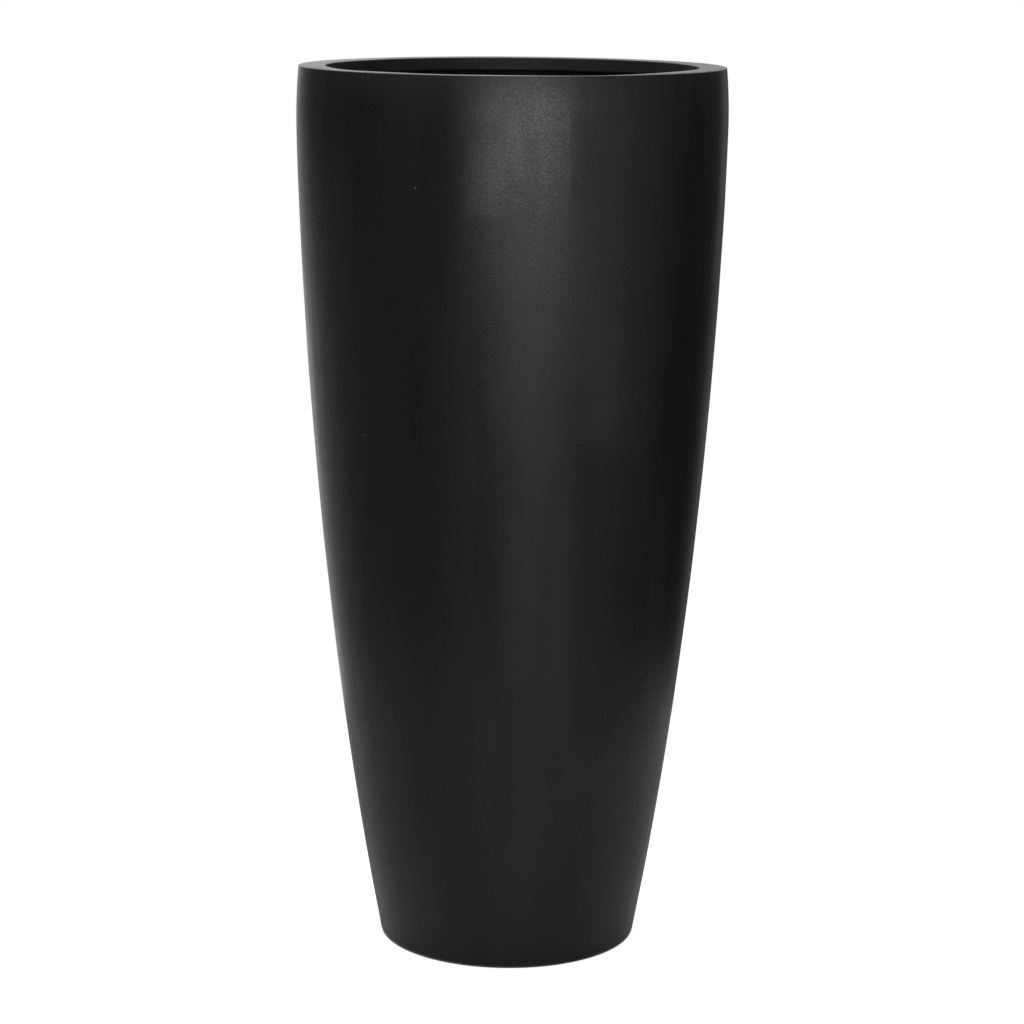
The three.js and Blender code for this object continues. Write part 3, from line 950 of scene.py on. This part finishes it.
for number in (1, 2, 3, 4):
    node = f"floor_pad_{number}"
    low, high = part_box(node)
    middle = (low + high) / 2
    pad_radius, pad_top = (high.x - low.x) / 2, high.z
    ring_radius = pad_radius - MOULD_RING_INSET
    edge = 0.8 * MM
    pad_outline = [
        (straight((0.0, 0.0), (ring_radius - MOULD_RING - 0.1 * MM, 0.0), 1.5 * MM), 0),
        (corner((ring_radius, 0.0), MOULD_RING, 180, 0, 6), 0),
        (straight((ring_radius + MOULD_RING + 0.1 * MM, 0.0), (pad_radius - edge, 0.0), 0.5 * MM), 0),
        (corner((pad_radius - edge, edge), edge, -90, 0, 6), 0),
        (straight((pad_radius, edge + 0.2 * MM), (pad_radius, pad_top - 0.2 * MM), 0.5 * MM), 0),
        (straight((pad_radius - 0.2 * MM, pad_top), (0.0, pad_top), 2 * MM), 0),
    ]
    pad = turned(f"pad_skin_{number}", pad_outline, 64, sharp=40)
    pad.data.transform(Matrix.Translation((middle.x, middle.y, 0)))
    dress(pad, "planter", [node], "rubber", rubber)

# %% [markdown]
# ## The studio
#
# Black shows only what it mirrors, so the light matters more than the colour. The planter
# stands on a round pale floor in a white studio that is bright on the left and open and
# dim on the right, with a low, wide soft box in front and white paper behind. Lamps would
# do for one box, but nine soft cards of different widths are easier to place in the
# world itself, each by its compass direction and height. The camera sees plain white.

# %% Pale floor
FLOOR_REACH = 0.95
FLOOR_TONE = 0.44
FLOOR_PAINTED_LIGHT_NEAR = 0.62  # painted light: the floor's colour is painted lighter close to the foot, to lift the shade there that the lower wall mirrors
FLOOR_LIFT = 0.8  # brings the lit floor up to white for the camera alone


def pale_floor():
    """Paper that the camera sees as white, with the shadow at the foot left in it, and a pool of light
    painted into its colour near the foot.
    """
    finish = Finish("pale_floor")
    camera_ray = finish.add("LightPath").outputs["Is Camera Ray"]
    where = finish.add("TexCoord").outputs["Object"]
    paper = finish.noise(where, 300 * MM)
    tone = finish.mix(paper, grey(FLOOR_TONE * 0.97), grey(FLOOR_TONE * 1.03))
    from_middle = finish.add("VectorMath", {"operation": "LENGTH"}, Vector=where).outputs["Value"]
    # a painted pool of light: the tone rises towards the foot and fades out by 2.6 foot radii from the
    # middle
    away = finish.ramp(from_middle, FOOT_RADIUS, 2.6 * FOOT_RADIUS, smooth=True)
    tone = finish.mix(away, grey(FLOOR_PAINTED_LIGHT_NEAR), tone)
    beside = finish.ramp(from_middle, FOOT_RADIUS - 1.5 * MM, FOOT_RADIUS)
    lift = finish.maths("MULTIPLY", camera_ray, finish.maths("MULTIPLY", beside, FLOOR_LIFT))
    finish.set(Base_Color=tone, Roughness=0.9, Emission_Color=grey(1.0), Emission_Strength=lift)
    return finish.material


def round_floor(around=128):
    """A flat disc under the planter."""
    angles = np.linspace(0, 2 * math.pi, around, endpoint=False)
    edge = [(FLOOR_REACH * math.cos(a), FLOOR_REACH * math.sin(a), 0.0) for a in angles]
    mesh = bpy.data.meshes.new("studio_floor")
    mesh.from_pydata(edge, [], [list(range(around))])
    mesh.materials.append(pale_floor())
    piece = bpy.data.objects.new("studio_floor", mesh)
    bpy.context.scene.collection.objects.link(piece)


round_floor()
print("floor across, m:", 2 * FLOOR_REACH)

# %% White studio
# compass centre (0 is behind the planter, 90 to its right), half width, lowest and highest
# point, softness across and up, all in degrees, and the level
CARDS = {
    "bright_room": (-57, 137, 9, 120, 8, 6, 0.6),
    "ceiling": (0, 180, 50, 120, 1, 30, 0.7),
    "low_soft_box": (172, 21, -9, 7, 46, 4, 3.65),
    "paper_behind": (-12, 16, -20, 64, 28, 10, 0.76),
    "paper_at_left": (-33, 19, -50, -7, 55, 4, 0.25),
    "paper_at_right": (24, 7, -50, 15, 4, 6, 0.22),
    "front_floor": (145, 31, -50, 14, 6, 6, 0.2),
    "right_wall": (114, 21, -23, 25, 12, 12, 0.22),
    "left_floor": (-96, 69, -50, -7, 16, 4, 0.1),
}
ROOM_LEVEL = 0.036


def card(graph, compass, height, centre, half_width, low, high, soft_across, soft_up, level):
    """A white patch with soft edges, seen in one direction of the world."""
    turned_away = graph.maths("SUBTRACT", compass, math.radians(centre))
    turned_away = graph.maths("ABSOLUTE", graph.maths("WRAP", turned_away, math.pi, -math.pi))
    edges = []
    for value, middle, soft in (
        (turned_away, half_width, -soft_across),
        (height, low, soft_up),
        (height, high, -soft_up),
    ):
        start, end = math.radians(middle - soft / 2), math.radians(middle + soft / 2)
        if start < end:
            edges.append(graph.ramp(value, start, end, smooth=True))
        else:
            edges.append(graph.ramp(value, end, start, 1.0, 0.0, smooth=True))
    inside = graph.maths("MULTIPLY", graph.maths("MULTIPLY", edges[0], edges[1]), edges[2])
    return graph.maths("MULTIPLY", inside, level)


def white_studio():
    """Adds up the cards as light, and shows the camera plain white."""
    world = bpy.data.worlds.new("white_studio")
    world.use_nodes = True
    graph = Graph(world.node_tree)
    parts = graph.add("SeparateXYZ", Vector=graph.add("TexCoord").outputs["Generated"])
    compass = graph.maths("ARCTAN2", parts.outputs["X"], parts.outputs["Y"])
    height = graph.maths("ARCSINE", parts.outputs["Z"])
    glow = ROOM_LEVEL
    for numbers in CARDS.values():
        glow = graph.maths("ADD", card(graph, compass, height, *numbers), glow)
    camera_ray = graph.add("LightPath").outputs["Is Camera Ray"]
    background = world.node_tree.nodes["Background"]
    graph.put(background, "Color", grey(1.0))
    graph.put(background, "Strength", graph.maths("MAXIMUM", glow, camera_ray))
    bpy.context.scene.world = world


white_studio()
print("cards:", len(CARDS))

# %% [markdown]
# ## The camera
#
# A long lens from a little above the rim keeps the sides nearly straight and lets the
# mouth show as a thin ellipse. Its place was worked out from the photograph's outline:
# the widths at each height, the curve of the foot and the two ellipses of the rim.

# %% Camera
CAMERA_DISTANCE, CAMERA_HEIGHT = 3.188, 1.144
PITCH, ROLL, YAW = 11.506, 0.42, 0.048  # degrees
lens = bpy.data.cameras.new("photo_camera")
lens.lens, lens.sensor_width = 100.0, 36.0
camera = bpy.data.objects.new("photo_camera", lens)
place = Matrix.Translation((0, -CAMERA_DISTANCE, CAMERA_HEIGHT))
aim = Matrix.Rotation(math.radians(-YAW), 4, "Z") @ Matrix.Rotation(math.radians(90 - PITCH), 4, "X")
camera.matrix_world = place @ aim @ Matrix.Rotation(math.radians(ROLL), 4, "Z")
bpy.context.scene.collection.objects.link(camera)
bpy.context.scene.camera = camera
bpy.context.scene.view_settings.view_transform = "Standard"
print("camera at", [round(value, 3) for value in camera.matrix_world.translation])
